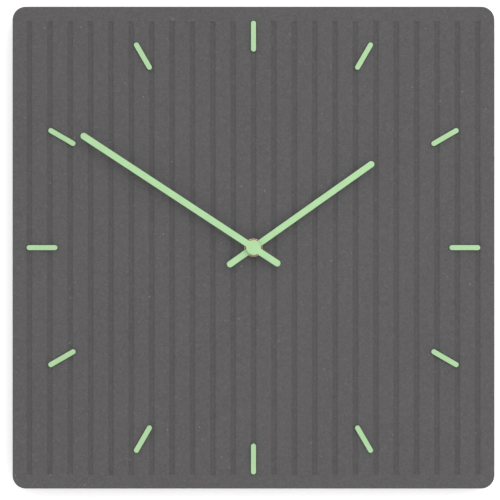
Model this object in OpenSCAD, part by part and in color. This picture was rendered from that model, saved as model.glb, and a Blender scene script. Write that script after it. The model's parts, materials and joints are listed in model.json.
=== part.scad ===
// Square battery wall clock: a grooved fibreboard panel with pill-shaped hour
// markers, two hands, and a quartz movement set into a pocket in its back.
//
// Every module is drawn on the dial: x to the right, y up and z out of the dial
// towards the viewer, with z = 0 on the back of the panel. on_dial() then
// stands the clock up, with its face towards -Y and the origin in the entry
// hole of the keyhole plate that hangs it on the wall.

/* [Panel] */
// Width and height of the square panel
panel_w = 350; // [345:1:380]
// Thickness of the panel
panel_t = 18; // [17:0.1:18.4]
// Radius of the panel's corners
panel_corner_r = 9.6; // [4:0.2:14]

/* [Grooves] */
// Number of vertical grooves, one of them on the centre line
groove_count = 23; // [19:2:23]
// Distance from one groove to the next
groove_pitch = 14.8; // [14:0.1:15]
// Width of a groove
groove_w = 3.45; // [2:0.05:5]
// Depth of a groove
groove_depth = 0.8; // [0.5:0.1:1.5]
// Plain border above the grooves
groove_top_margin = 10.9; // [8:0.1:16]
// Plain border below the grooves
groove_bottom_margin = 10.1; // [8:0.1:16]

/* [Hour markers] */
// Length of a marker
marker_l = 22.35; // [18:0.05:24]
// Width of a marker
marker_w = 3.77; // [3:0.01:5]
// How far a marker stands out of the panel
marker_proud = 2; // [1:0.1:3]
// How deep a marker is let into the panel
marker_seat = 2; // [1.6:0.1:3]
// Radius to the middle of the markers at 3, 6, 9 and 12
marker_near_r = 153.35; // [148:0.05:155]
// Radius to the middle of the other eight markers
marker_far_r = 160.4; // [156:0.1:162]

/* [Hands] */
// Width of the minute hand
minute_hand_w = 4.75; // [3.5:0.05:6]
// Reach of the minute hand from the centre to its tip
minute_hand_reach = 148.9; // [135:0.1:150]
// Length of the minute hand behind the centre
minute_hand_tail = 22.9; // [15:0.1:30]
// Width of the hour hand
hour_hand_w = 4.65; // [3.5:0.05:6]
// Reach of the hour hand from the centre to its tip
hour_hand_reach = 106.7; // [90:0.1:120]
// Length of the hour hand behind the centre
hour_hand_tail = 23.1; // [15:0.1:30]
// Diameter of the round middle of each hand
hand_hub_d = 10.4; // [9:0.1:13]
// Thickness of the hands
hand_t = 1.2; // [0.8:0.1:1.2]
// Where the minute hand points, clockwise from 12
minute_hand_angle = 303.3; // [0:0.1:359.9]
// Where the hour hand points, clockwise from 12
hour_hand_angle = 54.7; // [0:0.1:359.9]

/* [Hanging] */
// Height of the keyhole's entry hole above the middle of the dial
hanger_rise = 118; // [100:1:140]
// Radius of the keyhole's entry hole
keyhole_entry_r = 4.5; // [4:0.1:5]
// Radius of the keyhole's slot
keyhole_slot_r = 2.3; // [2:0.1:2.4]
// Length of the keyhole's slot above the entry hole
keyhole_slot_l = 9; // [8:0.5:10]
// Radius of the rubber bumpers
bumper_r = 6; // [4:0.5:8]
// Thickness of the rubber bumpers
bumper_t = 3; // [3:0.1:4]
// Distance of each bumper's middle from the two nearest edges
bumper_inset = 20; // [14:1:30]

/* [Movement] */
// Width and height of the movement's case
case_w = 56; // [56:0.1:57]
// Wall thickness of the movement's case
case_wall = 1.2; // [1:0.05:1.2]
// Radius of the threaded bush
bush_r = 4; // [3.8:0.05:4]
// Radius of the brass washer behind the hands
washer_r = 6.65; // [6:0.05:8]
// Radius of the tube that carries the hour hand
hour_tube_r = 2.5; // [2.4:0.01:2.5]
// Radius of the shaft that carries the minute hand
minute_shaft_r = 1.75; // [1.5:0.01:1.8]
// Radius of an AA battery over its sleeve
battery_r = 7.25; // [7:0.05:7.25]

/* [Hidden] */

$fn = 64;
cut = 1;              // how far a cutting shape runs past the face it cuts
running_fit = 0.05;   // radial gap of a shaft that turns in a hole
loose_fit = 0.1;      // gap of a piece that drops into a recess
thread_fit = 0.02;    // radial gap of a screw or a bush in its hole

// Heights of the stack along the dial's axis, from the wall to the viewer
case_back = -2.6;
cover_t = 1.2;
cover_inside = case_back + cover_t;
case_front = 13.2;
case_inside = case_front - case_wall;
pocket_depth = 14;
pocket_w = case_w + 2;
pocket_corner_r = 4;
washer_t = 0.6;
nut_t = 2.2;
nut_flat_w = 10;
cushion_r = 8.8;
bush_end = 21.2;
bush_flange_r = 5.2;
bush_flange_t = 0.8;
hour_hand_z = 22;
hour_tube_end = hour_hand_z + hand_t + 0.1;
minute_hand_z = 25.6;
minute_bush_z = 23.5;
minute_shaft_end = minute_hand_z - 0.2;
collet_r = 3.2;
collet_flange_r = 3.9;
collet_flange_t = 0.5;
collet_lap = 0.25;              // how far the collet's flange and its neck run into each other

// Panel details
seat_floor = panel_t - marker_seat;
bush_hole_r = bush_r + 0.2;

// Keyhole plate, let in flush with the back of the panel
plate_w = 18;
plate_h = 46;
plate_t = 1.5;
plate_corner_r = 3;
plate_screw_y = 17.5;
plate_middle_y = 2;
screw_head_r = 3.1;
screw_shank_r = 1.4;
screw_l = 11;
screw_point_l = 2;
screw_point_r = 0.3;
recess_r = 5.6;
recess_depth = 9;

// Movement case
case_corner_r = 3;
bay_w = 15;                                  // height of the battery bay
partition_t = 1;
inner_half = case_w / 2 - case_wall;
partition_y = -inner_half + bay_w;           // lower face of the partition
room_floor_y = partition_y + partition_t;    // lowest y of the wheel room
contact_notch = 0.6;
contact_notch_z = [1.2, 3.6];
cover_corner_r = 1.6;
screw_post_r = 1.8;
board_post_r = 1.2;
board_post_inset = 2;
bridge_z = 6.6;
bridge_t = 0.8;
post_r = 1.5;
post_pin_r = 0.8;
bridge_posts = [[-11.5, 16.5], [23.3, -3], [23.3, 23.3]];
bridge_low = [[-13.75, -6.5], [25.25, 18.5]];    // opposite corners of the bridge's lower part
bridge_high = [[7.75, 5.5], [25.25, 25.5]];      // and of its upper part
bridge_corner_r = 2.5;

// Wheel train: teeth of each wheel and of the pinion that meets it
fine_module = 0.3;
pinion_teeth = 8;
centre_teeth = 64;
third_teeth = 60;
fourth_teeth = 48;
fifth_teeth = 40;
cannon_teeth = 12;
minute_wheel_teeth = 36;
minute_pinion_teeth = 10;
hour_wheel_teeth = 40;
hand_setting_distance = 10.8;    // from the dial's axis to the minute wheel's

function polar(from, distance, angle) =
    [from[0] + distance * cos(angle), from[1] + distance * sin(angle)];
function mesh_distance(wheel, pinion) = fine_module * (wheel + pinion) / 2;
function setting_module(one, other) = 2 * hand_setting_distance / (one + other);

third_angle = 75;
fourth_angle = -10;
fifth_angle = 50;
rotor_angle = 120;
minute_wheel_angle = 150;
centre_at = [0, 0];
third_at = polar(centre_at, mesh_distance(centre_teeth, pinion_teeth), third_angle);
fourth_at = polar(third_at, mesh_distance(third_teeth, pinion_teeth), fourth_angle);
fifth_at = polar(fourth_at, mesh_distance(fourth_teeth, pinion_teeth), fifth_angle);
rotor_at = polar(fifth_at, mesh_distance(fifth_teeth, pinion_teeth), rotor_angle);
minute_wheel_at = polar(centre_at, hand_setting_distance, minute_wheel_angle);
train_at = [third_at, fourth_at, fifth_at, rotor_at];

pivot_r = 0.5;
arbor_r = 0.8;
pivot_back = -1.9;
arbor_back = -0.4;
arbor_front = 6.4;
pivot_front = 7.3;
wheel_t = 0.8;
centre_wheel_z = 4.6;
third_wheel_z = 2.6;
fourth_wheel_z = 0.6;
fifth_wheel_z = 3.9;
centre_arbor_r = 0.9;
hub_r = 2.2;                    // hub of the centre wheel
hub_step = 0.4;                 // and how far it stands off the wheel on each side
third_pinion = [4, 2];          // where each pinion starts, and its length
fourth_pinion = [2, 1.9];
fifth_pinion = [0.2, 1.7];
rotor_pinion_l = 2;
spokes = 5;
shoulder_r = 1.4;
shoulder_z = 6.3;
cannon_z = 8;
cannon_h = 1.7;
minute_wheel_z = 8.4;
minute_pinion_z = 9.5;
minute_pinion_h = 1.9;
hour_wheel_z = 10;
knob_arbor_r = 0.8;
knob_r = 4.8;
knob_z = -2.4;
knob_t = 2;
knob_grips = 24;
knob_grip_r = 0.4;
knob_socket = 1.2;              // how far the knob goes onto its arbor
knob_well_r = 5.6;
knob_well_wall = 0.8;
knob_well_floor = 0.2;

// Motor
magnet_r = 2.7;
magnet_z = 0.9;
magnet_h = 2.3;
stator_z = 1.7;
stator_t = 0.7;
stator_ring_r = 5;
stator_hole_r = 3.3;
stator_bar_w = 3.6;
coil_y = 22.6;
coil_left_x = -24;
coil_right_x = 4.5;
core_w = 3.2;
core_end_r = 2;
bobbin_span = [-21, -1];
bobbin_r = 2.2;
bobbin_flange_r = 3.4;
bobbin_flange_t = 0.8;
winding_r = 3.1;
stator_return = [[9.5, 15.8], [-24, 15.8], [-24, 22.6]];
stator_screw_r = 0.75;
stator_screw_end = -0.9;
stator_head_r = 1.5;
stator_head_t = 0.9;

// Circuit board
board_x = [-26.2, -16];
board_y = [-10.4, 13];
board_z = 0.6;
board_t = 0.8;
board_part_x = -21.1;           // middle line of the parts on the board

// Battery, lying across the bay
battery_axis = [-inner_half + bay_w / 2, 4.55];    // y and z of the battery's middle
sleeve_t = 0.15;
battery_can_r = battery_r - sleeve_t;
battery_can_x = [-25.3, 24.1];
battery_sleeve_x = [-24.9, 23.8];
terminal_r = 2.75;
terminal_x = -26.3;
contact_t = 0.3;
contact_x = inner_half - loose_fit;
contact_tab_z = [contact_notch_z[0] + 0.2, contact_notch_z[1] - 0.2];

module on_dial() {
    translate([0, 0, -hanger_rise])
        rotate([90, 0, 0])
            children();
}

module clockwise(degrees) {
    rotate([0, 0, -degrees])
        children();
}

// Flat outlines

module rounded_rectangle(w, h, r) {
    square([w - 2 * r, h], center = true);
    square([w, h - 2 * r], center = true);
    for (side = [-1, 1], end = [-1, 1])
        translate([side * (w / 2 - r), end * (h / 2 - r)])
            circle(r = r);
}

// A rounded rectangle between two opposite corners
module rounded_between(corners, r) {
    size = corners[1] - corners[0];
    translate((corners[0] + corners[1]) / 2)
        rounded_rectangle(size[0], size[1], r);
}

// A bar with round ends, standing on y, from low to high at its very ends
module pill(w, low, high) {
    translate([-w / 2, low + w / 2])
        square([w, high - low - w]);
    for (y = [low + w / 2, high - w / 2])
        translate([0, y])
            circle(d = w);
}

// A bar with round ends between two points
module link(from, to, w) {
    span = to - from;
    translate(from)
        rotate([0, 0, atan2(span[1], span[0]) - 90])
            pill(w, -w / 2, norm(span) + w / 2);
}

// Straight-sided teeth, thin enough to run with backlash, with tooth 0 on +x
module teeth_outline(teeth, tooth_module) {
    pitch_r = teeth * tooth_module / 2;
    tip_r = pitch_r + 0.85 * tooth_module;
    root_r = pitch_r - 1.25 * tooth_module;
    step = 360 / teeth;
    polygon([
        for (i = [0:teeth - 1], corner = [[-0.25, root_r], [-0.08, tip_r], [0.08, tip_r], [0.25, root_r]])
            polar([0, 0], corner[1], (i + corner[0]) * step)
    ]);
}

// A toothed disc whose tooth, or gap, faces the given direction
module gear(teeth, tooth_module, h, facing, gap = false) {
    turn = facing + (gap ? 180 / teeth : 0);
    rotate([0, 0, turn])
        linear_extrude(h)
            teeth_outline(teeth, tooth_module);
}

module at(point, z = 0) {
    translate([point[0], point[1], z])
        children();
}

module rod(r, low, high) {
    translate([0, 0, low])
        cylinder(r = r, h = high - low);
}

module ring(outer, inner, low, high) {
    difference() {
        rod(outer, low, high);
        rod(inner, low - cut, high + cut);
    }
}

// Panel and markers

function marker_r(hour) = hour % 3 == 0 ? marker_near_r : marker_far_r;

module groove_set() {
    low = -panel_w / 2 + groove_bottom_margin;
    high = panel_w / 2 - groove_top_margin;
    half = (groove_count - 1) / 2;
    for (i = [-half:half])
        translate([i * groove_pitch - groove_w / 2, low, panel_t - groove_depth])
            cube([groove_w, high - low, groove_depth + cut]);
}

module marker_outline(hour, extra) {
    r = marker_r(hour);
    clockwise(hour * 30)
        pill(marker_w + 2 * extra, r - marker_l / 2 - extra, r + marker_l / 2 + extra);
}

module keyhole_recess() {
    translate([0, hanger_rise + plate_middle_y, -cut])
        linear_extrude(plate_t + cut)
            rounded_rectangle(plate_w + 2 * loose_fit, plate_h + 2 * loose_fit, plate_corner_r);
    translate([0, hanger_rise, 0])
        linear_extrude(recess_depth)
            pill(2 * recess_r, -recess_r, keyhole_slot_l + recess_r);
    plate_screw_places()
        rod(screw_shank_r + thread_fit, 0, screw_l + 2 * loose_fit);
}

module dial_panel() {
    color("#616062")
        on_dial()
            difference() {
                linear_extrude(panel_t)
                    rounded_rectangle(panel_w, panel_w, panel_corner_r);
                groove_set();
                for (hour = [1:12])
                    translate([0, 0, seat_floor])
                        linear_extrude(marker_seat + cut)
                            marker_outline(hour, loose_fit / 2);
                translate([0, 0, -cut])
                    linear_extrude(pocket_depth + cut)
                        rounded_rectangle(pocket_w, pocket_w, pocket_corner_r);
                rod(bush_hole_r, pocket_depth - cut, panel_t + cut);
                keyhole_recess();
            }
}

module hour_marker(hour) {
    color("#b1d5a5")
        on_dial()
            translate([0, 0, seat_floor])
                linear_extrude(marker_seat + marker_proud)
                    marker_outline(hour, 0);
}

// Hands

module hand_outline(w, reach, tail) {
    pill(w, -tail, reach);
    circle(d = hand_hub_d);
}

module hour_hand() {
    color("#b4ddaa")
        on_dial()
            clockwise(hour_hand_angle)
                difference() {
                    translate([0, 0, hour_hand_z])
                        linear_extrude(hand_t)
                            hand_outline(hour_hand_w, hour_hand_reach, hour_hand_tail);
                    rod(collet_r, hour_hand_z - cut, hour_hand_z + hand_t + cut);
                }
}

module hour_hand_collet() {
    color("#b08d4a")
        on_dial()
            difference() {
                union() {
                    rod(collet_flange_r, hour_hand_z - collet_flange_t, hour_hand_z);
                    rod(collet_r, hour_hand_z - collet_lap, hour_hand_z + hand_t);
                }
                rod(hour_tube_r, hour_hand_z - cut, hour_hand_z + hand_t + cut);
            }
}

module minute_hand() {
    color("#b2dba7")
        on_dial()
            clockwise(minute_hand_angle)
                translate([0, 0, minute_hand_z])
                    linear_extrude(hand_t)
                        hand_outline(minute_hand_w, minute_hand_reach, minute_hand_tail);
}

module minute_hand_bush() {
    color("#b08d4a")
        on_dial()
            difference() {
                rod(collet_r, minute_bush_z, minute_hand_z);
                rod(minute_shaft_r, minute_bush_z - cut, minute_shaft_end);
            }
}

// Fixing of the movement

module bush_washer() {
    color("#b08d4a")
        on_dial()
            ring(washer_r, bush_r + loose_fit, panel_t, panel_t + washer_t);
}

module bush_nut() {
    color("#a58244")
        on_dial()
            difference() {
                translate([0, 0, panel_t + washer_t])
                    cylinder(d = nut_flat_w / cos(30), h = nut_t, $fn = 6);
                rod(bush_r + thread_fit, panel_t, panel_t + washer_t + nut_t + cut);
            }
}

module cushion_washer() {
    color("#1c1c1e")
        on_dial()
            ring(cushion_r, bush_r + loose_fit, case_front, pocket_depth);
}

module threaded_bush() {
    color("#b08d4a")
        on_dial()
            difference() {
                union() {
                    rod(bush_flange_r, case_inside - bush_flange_t, case_inside);
                    rod(bush_r, case_inside - bush_flange_t / 2, bush_end);
                }
                rod(hour_tube_r + running_fit, 0, bush_end + cut);
            }
}

// Movement case

module contact_notches() {
    for (side = [-1, 1])
        translate([side * (inner_half - contact_notch / 2), partition_y, 0])
            translate([-contact_notch / 2, -cut, contact_notch_z[0]])
                cube([contact_notch, partition_t + 2 * cut, contact_notch_z[1] - contact_notch_z[0]]);
}

module bridge_post() {
    rod(post_r, bridge_z + bridge_t, case_inside + case_wall / 2);
    rod(post_pin_r, bridge_z, case_inside);
}

module movement_case() {
    color("#202123")
        on_dial() {
            difference() {
                translate([0, 0, case_back])
                    linear_extrude(case_front - case_back)
                        rounded_rectangle(case_w, case_w, case_corner_r);
                translate([0, 0, case_back - cut])
                    linear_extrude(case_inside - case_back + cut)
                        rounded_rectangle(2 * inner_half, 2 * inner_half, case_corner_r - case_wall);
                rod(bush_r + thread_fit, case_inside - cut, case_front + cut);
                at(minute_wheel_at)
                    rod(pivot_r + running_fit, case_inside - cut, case_inside + case_wall / 2);
            }
            difference() {
                translate([-inner_half, partition_y, cover_inside])
                    cube([2 * inner_half, partition_t, case_inside - cover_inside]);
                contact_notches();
            }
            for (post = bridge_posts)
                at(post)
                    bridge_post();
        }
}

module pivot_boss() {
    rod(2 * arbor_r, cover_inside, -pivot_r);
}

module pivot_hole() {
    rod(pivot_r + running_fit, pivot_back - loose_fit, cut);
}

module movement_back_cover() {
    screw_posts = [[coil_left_x, coil_y], [coil_right_x, coil_y]];
    board_posts = [
        [board_x[0] + board_post_inset, board_y[0] + board_post_inset],
        [board_x[1] - board_post_inset, board_y[1] - board_post_inset]
    ];
    post_root = cover_inside - cover_t / 2;
    room_h = inner_half - partition_y;
    cover_w = 2 * (inner_half - loose_fit);
    color("#26272a")
        on_dial()
            difference() {
                union() {
                    translate([0, partition_y + room_h / 2, case_back])
                        linear_extrude(cover_t)
                            rounded_rectangle(cover_w, room_h - loose_fit, cover_corner_r);
                    for (point = concat([centre_at], train_at))
                        at(point)
                            pivot_boss();
                    at(minute_wheel_at)
                        rod(knob_well_r + knob_well_wall, post_root, knob_well_floor + knob_well_wall);
                    for (point = screw_posts)
                        at(point)
                            rod(screw_post_r, post_root, stator_z);
                    for (point = board_posts)
                        at(point)
                            rod(board_post_r, post_root, board_z);
                }
                for (point = concat([centre_at], train_at))
                    at(point)
                        pivot_hole();
                at(minute_wheel_at) {
                    rod(knob_well_r, case_back - cut, knob_well_floor);
                    rod(knob_arbor_r + running_fit, 0, cut + knob_well_floor + knob_well_wall);
                }
                for (point = screw_posts)
                    at(point)
                        rod(stator_screw_r, stator_screw_end - loose_fit, stator_z + cut);
            }
}

module train_bridge() {
    color("#d9d9d4")
        on_dial()
            difference() {
                translate([0, 0, bridge_z])
                    linear_extrude(bridge_t) {
                        rounded_between(bridge_low, bridge_corner_r);
                        rounded_between(bridge_high, bridge_corner_r);
                    }
                rod(shoulder_r + running_fit, 0, case_inside);
                at(minute_wheel_at)
                    rod(knob_arbor_r + running_fit, 0, case_inside);
                for (point = train_at)
                    at(point)
                        rod(pivot_r + running_fit, 0, case_inside);
                for (post = bridge_posts)
                    at(post)
                        rod(post_pin_r + thread_fit, 0, case_inside);
            }
}

// Wheels that set and carry the hands

module minute_arbor() {
    color("#b9bbbd")
        on_dial() {
            cannon_module = setting_module(cannon_teeth, minute_wheel_teeth);
            rod(pivot_r, pivot_back, arbor_back);
            rod(centre_arbor_r, arbor_back, shoulder_z);
            rod(shoulder_r, shoulder_z, cannon_z);
            at(centre_at, cannon_z)
                gear(cannon_teeth, cannon_module, cannon_h, minute_wheel_angle);
            rod(minute_shaft_r, cannon_z, minute_shaft_end);
        }
}

module clutch_spring() {
    blade_w = 1.2;
    blade_reach = 4.2;
    blade_t = 0.35;
    middle_r = 2;
    low = centre_wheel_z + wheel_t + hub_step + loose_fit;
    color("#c9a85c")
        on_dial()
            difference() {
                translate([0, 0, low])
                    linear_extrude(blade_t) {
                        circle(r = middle_r);
                        for (turn = [0, 120, 240])
                            clockwise(turn)
                                pill(blade_w, 0, blade_reach);
                    }
                rod(centre_arbor_r, 0, shoulder_z);
            }
}

module hour_wheel() {
    color("#e6e4dc")
        on_dial()
            difference() {
                union() {
                    at(centre_at, hour_wheel_z)
                        gear(hour_wheel_teeth, setting_module(hour_wheel_teeth, minute_pinion_teeth),
                             wheel_t + loose_fit, minute_wheel_angle, gap = true);
                    rod(hour_tube_r, hour_wheel_z - loose_fit, hour_tube_end);
                }
                rod(minute_shaft_r + running_fit, 0, hour_tube_end + cut);
            }
}

module minute_wheel() {
    color("#e6e4dc")
        on_dial()
            at(minute_wheel_at) {
                rod(knob_arbor_r, knob_z + knob_t - knob_socket, minute_wheel_z);
                at([0, 0], minute_wheel_z)
                    gear(minute_wheel_teeth, setting_module(minute_wheel_teeth, cannon_teeth),
                         wheel_t + loose_fit, minute_wheel_angle + 180, gap = true);
                rod(knob_arbor_r, minute_wheel_z, minute_pinion_z);
                at([0, 0], minute_pinion_z)
                    gear(minute_pinion_teeth, setting_module(minute_pinion_teeth, hour_wheel_teeth),
                         minute_pinion_h, minute_wheel_angle + 180);
                rod(pivot_r, minute_pinion_z, case_inside + case_wall / 2 - loose_fit);
            }
}

module setting_knob() {
    color("#d8d6cf")
        on_dial()
            at(minute_wheel_at)
                difference() {
                    rod(knob_r, knob_z, knob_z + knob_t);
                    for (i = [0:knob_grips - 1])
                        rotate([0, 0, i * 360 / knob_grips])
                            translate([knob_r + knob_grip_r / 2, 0, knob_z - cut])
                                cylinder(r = knob_grip_r, h = knob_t + 2 * cut, $fn = 16);
                    rod(knob_arbor_r, knob_z + knob_t - knob_socket, cut);
                }
}

// Wheel train

// An arbor with a pivot at each end, that turns in the back cover and the bridge
module arbor() {
    rod(pivot_r, pivot_back, arbor_back);
    rod(arbor_r, arbor_back, arbor_front);
    rod(pivot_r, arbor_front, pivot_front);
}

// One wheel of the train with its arbor and pinion: the wheel meets the next
// piece of the train, and the pinion meets the wheel before it
module train_wheel(teeth, wheel_z, next_angle, pinion, last_angle) {
    pitch_r = teeth * fine_module / 2;
    window_r = pitch_r / 5;
    window_at = 0.58 * pitch_r;
    difference() {
        at([0, 0], wheel_z)
            gear(teeth, fine_module, wheel_t, next_angle, gap = true);
        for (i = [0:spokes - 1])
            rotate([0, 0, i * 360 / spokes])
                translate([window_at, 0, wheel_z - cut])
                    cylinder(r = window_r, h = wheel_t + 2 * cut, $fn = 32);
    }
    at([0, 0], pinion[0])
        gear(pinion_teeth, fine_module, pinion[1], last_angle + 180);
    arbor();
}

module centre_wheel() {
    color("#e6e4dc")
        on_dial()
            difference() {
                union() {
                    at(centre_at, centre_wheel_z)
                        gear(centre_teeth, fine_module, wheel_t, third_angle, gap = true);
                    rod(hub_r, centre_wheel_z - hub_step, centre_wheel_z + wheel_t + hub_step);
                }
                rod(centre_arbor_r + running_fit, 0, shoulder_z);
            }
}

module third_wheel() {
    color("#e6e4dc")
        on_dial()
            at(third_at)
                train_wheel(third_teeth, third_wheel_z, fourth_angle, third_pinion, third_angle);
}

module fourth_wheel() {
    color("#e6e4dc")
        on_dial()
            at(fourth_at)
                train_wheel(fourth_teeth, fourth_wheel_z, fifth_angle, fourth_pinion, fourth_angle);
}

module fifth_wheel() {
    color("#e6e4dc")
        on_dial()
            at(fifth_at)
                train_wheel(fifth_teeth, fifth_wheel_z, rotor_angle, fifth_pinion, fifth_angle);
}

// Stepping motor

module rotor_pinion() {
    color("#e6e4dc")
        on_dial()
            at(rotor_at) {
                at([0, 0], magnet_z + magnet_h)
                    gear(pinion_teeth, fine_module, rotor_pinion_l, rotor_angle + 180);
                arbor();
            }
}

module rotor_magnet() {
    color("#4a4b4f")
        on_dial()
            at(rotor_at)
                ring(magnet_r, arbor_r, magnet_z, magnet_z + magnet_h);
}

module stator() {
    route = concat([rotor_at], stator_return);
    color("#9a9ca0")
        on_dial()
            difference() {
                translate([0, 0, stator_z])
                    linear_extrude(stator_t) {
                        translate(rotor_at)
                            circle(r = stator_ring_r);
                        link(rotor_at, [coil_right_x, coil_y], stator_bar_w);
                        for (i = [1:len(route) - 1])
                            link(route[i - 1], route[i], stator_bar_w);
                    }
                at(rotor_at)
                    rod(stator_hole_r, 0, bridge_z);
                for (x = [coil_left_x, coil_right_x])
                    at([x, coil_y])
                        rod(stator_screw_r + running_fit, 0, bridge_z);
            }
}

module coil_core() {
    color("#9a9ca0")
        on_dial()
            difference() {
                translate([0, 0, stator_z + stator_t])
                    linear_extrude(stator_t) {
                        link([coil_left_x, coil_y], [coil_right_x, coil_y], core_w);
                        for (x = [coil_left_x, coil_right_x])
                            translate([x, coil_y])
                                circle(r = core_end_r);
                    }
                for (x = [coil_left_x, coil_right_x])
                    at([x, coil_y])
                        rod(stator_screw_r + running_fit, 0, bridge_z);
            }
}

// Turns children that stand on z so that they lie along the coil, from x = 0
module along_coil() {
    translate([0, coil_y, stator_z + 1.5 * stator_t])
        rotate([0, 90, 0])
            children();
}

module coil_bobbin() {
    slot_w = core_w + 2 * running_fit;
    slot_h = stator_t + 2 * running_fit;
    color("#3a3b40")
        on_dial()
            difference() {
                along_coil() {
                    rod(bobbin_r, bobbin_span[0], bobbin_span[1]);
                    rod(bobbin_flange_r, bobbin_span[0], bobbin_span[0] + bobbin_flange_t);
                    rod(bobbin_flange_r, bobbin_span[1] - bobbin_flange_t, bobbin_span[1]);
                }
                translate([bobbin_span[0] - cut, coil_y - slot_w / 2, stator_z + stator_t - running_fit])
                    cube([bobbin_span[1] - bobbin_span[0] + 2 * cut, slot_w, slot_h]);
            }
}

module coil_winding() {
    low = bobbin_span[0] + bobbin_flange_t;
    high = bobbin_span[1] - bobbin_flange_t;
    color("#9c4f24")
        on_dial()
            along_coil()
                ring(winding_r, bobbin_r, low, high);
}

module stator_screws() {
    seat = stator_z + 2 * stator_t;
    color("#c9cbcd")
        on_dial()
            for (x = [coil_left_x, coil_right_x])
                at([x, coil_y]) {
                    rod(stator_screw_r, stator_screw_end, seat);
                    rod(stator_head_r, seat, seat + stator_head_t);
                }
}

// Circuit

module circuit_board() {
    color("#2f6b3c")
        on_dial()
            translate([board_x[0], board_y[0], board_z])
                cube([board_x[1] - board_x[0], board_y[1] - board_y[0], board_t]);
}

module clock_chip() {
    blob_r = 2.6;
    blob_h = 0.9;
    dome_r = (blob_r * blob_r + blob_h * blob_h) / (2 * blob_h);
    color("#151517")
        on_dial()
            translate([board_part_x, 0, board_z + board_t])
                intersection() {
                    translate([0, 0, blob_h - dome_r])
                        sphere(r = dome_r);
                    cylinder(r = blob_r, h = blob_h);
                }
}

module quartz_crystal() {
    can_r = 1;
    can_l = 6;
    can_start = 4.5;
    lead_r = 0.15;
    lead_l = 1.6;
    lead_depth = 0.4;      // how far a lead runs into the can
    lead_spread = 0.4;
    color("#c4c6c8")
        on_dial()
            translate([board_part_x, can_start, board_z + board_t + can_r])
                rotate([-90, 0, 0]) {
                    rod(can_r, 0, can_l);
                    for (side = [-1, 1])
                        at([side * lead_spread, 0])
                            rod(lead_r, -lead_l, lead_depth);
                }
}

module positive_contact() {
    pad_w = 7.4;
    pad_z = [0.5, 8.5];
    foot_w = 1;
    foot_l = 3;
    foot_y = room_floor_y + 0.8;
    tab_h = contact_tab_z[1] - contact_tab_z[0];
    color("#c9cbcd")
        on_dial() {
            translate([-contact_x, battery_axis[0] - pad_w / 2, pad_z[0]])
                cube([contact_t, pad_w, pad_z[1] - pad_z[0]]);
            translate([-contact_x, battery_axis[0], contact_tab_z[0]])
                cube([contact_t, foot_y + foot_w - battery_axis[0], tab_h]);
            translate([-contact_x, foot_y, contact_tab_z[0]])
                cube([foot_l, foot_w, contact_t]);
        }
}

// A strip folded back on itself, so that it springs against the battery
module negative_contact() {
    half_w = 4.7;
    fold_y = 3.9;
    lip = [0.6, 4.7];              // outer corner of the fold, from the wall and from the battery's axis
    bow = 2.4;                     // how far the spring stands off the wall
    end_in = [0.9, 3.6];           // inner corner of its free end
    end_out = [1.15, 3.7];         // and the outer one
    spring_z = 1;
    spring_w = 7;
    strip_y = room_floor_y + running_fit;
    strip_lap = 2;                 // how far the strip reaches over the board
    tab_h = contact_tab_z[1] - contact_tab_z[0];
    x = contact_x;
    y = battery_axis[0];
    color("#c9cbcd")
        on_dial() {
            translate([0, 0, spring_z])
                linear_extrude(spring_w)
                    polygon([
                        [x, y - half_w], [x, y + half_w],
                        [x - contact_t, y + half_w], [x - contact_t, y - fold_y],
                        [x - bow + contact_t, y],
                        [x - end_in[0], y + end_in[1]],
                        [x - end_out[0], y + end_out[1]],
                        [x - bow, y],
                        [x - lip[0], y - lip[1]]
                    ]);
            translate([x - contact_t, y, contact_tab_z[0]])
                cube([contact_t, strip_y + contact_t - y, tab_h]);
            translate([board_x[1] - strip_lap, strip_y, contact_tab_z[0]])
                cube([x - board_x[1] + strip_lap, contact_t, tab_h]);
        }
}

// Battery

module along_bay() {
    translate([0, battery_axis[0], battery_axis[1]])
        rotate([0, 90, 0])
            children();
}

module battery_can() {
    color("#c4c6c8")
        on_dial()
            along_bay()
                rod(battery_can_r, battery_can_x[0], battery_can_x[1]);
}

module battery_sleeve() {
    color("#8f9a86")
        on_dial()
            along_bay()
                ring(battery_r, battery_can_r, battery_sleeve_x[0], battery_sleeve_x[1]);
}

module battery_terminal() {
    color("#d2d4d6")
        on_dial()
            along_bay()
                rod(terminal_r, terminal_x, battery_can_x[0]);
}

// Hanging hardware

module plate_screw_places() {
    for (end = [-1, 1])
        translate([0, hanger_rise + plate_middle_y + end * plate_screw_y, 0])
            children();
}

module keyhole_plate() {
    color("#b9bbbd")
        on_dial()
            difference() {
                translate([0, hanger_rise + plate_middle_y, 0])
                    linear_extrude(plate_t)
                        rounded_rectangle(plate_w, plate_h, plate_corner_r);
                translate([0, hanger_rise, 0]) {
                    rod(keyhole_entry_r, -cut, plate_t + cut);
                    translate([0, 0, -cut])
                        linear_extrude(plate_t + 2 * cut)
                            pill(2 * keyhole_slot_r, -keyhole_slot_r, keyhole_slot_l + keyhole_slot_r);
                }
                plate_screw_places() {
                    translate([0, 0, -thread_fit])
                        cylinder(r1 = screw_head_r + loose_fit, r2 = screw_shank_r + loose_fit, h = plate_t);
                    rod(screw_shank_r + loose_fit, -cut, plate_t + cut);
                }
            }
}

module keyhole_screws() {
    color("#c9a85c")
        on_dial()
            plate_screw_places() {
                cylinder(r1 = screw_head_r, r2 = screw_shank_r, h = plate_t);
                rod(screw_shank_r, plate_t / 2, screw_l - screw_point_l);
                translate([0, 0, screw_l - screw_point_l])
                    cylinder(r1 = screw_shank_r, r2 = screw_point_r, h = screw_point_l);
            }
}

function bumper_place(corner) =
    (panel_w / 2 - bumper_inset) * [corner % 2 == 0 ? 1 : -1, corner > 2 ? 1 : -1];

module wall_bumper(corner) {
    color("#2a2a2c")
        on_dial()
            at(bumper_place(corner))
                rod(bumper_r, -bumper_t, 0);
}

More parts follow.
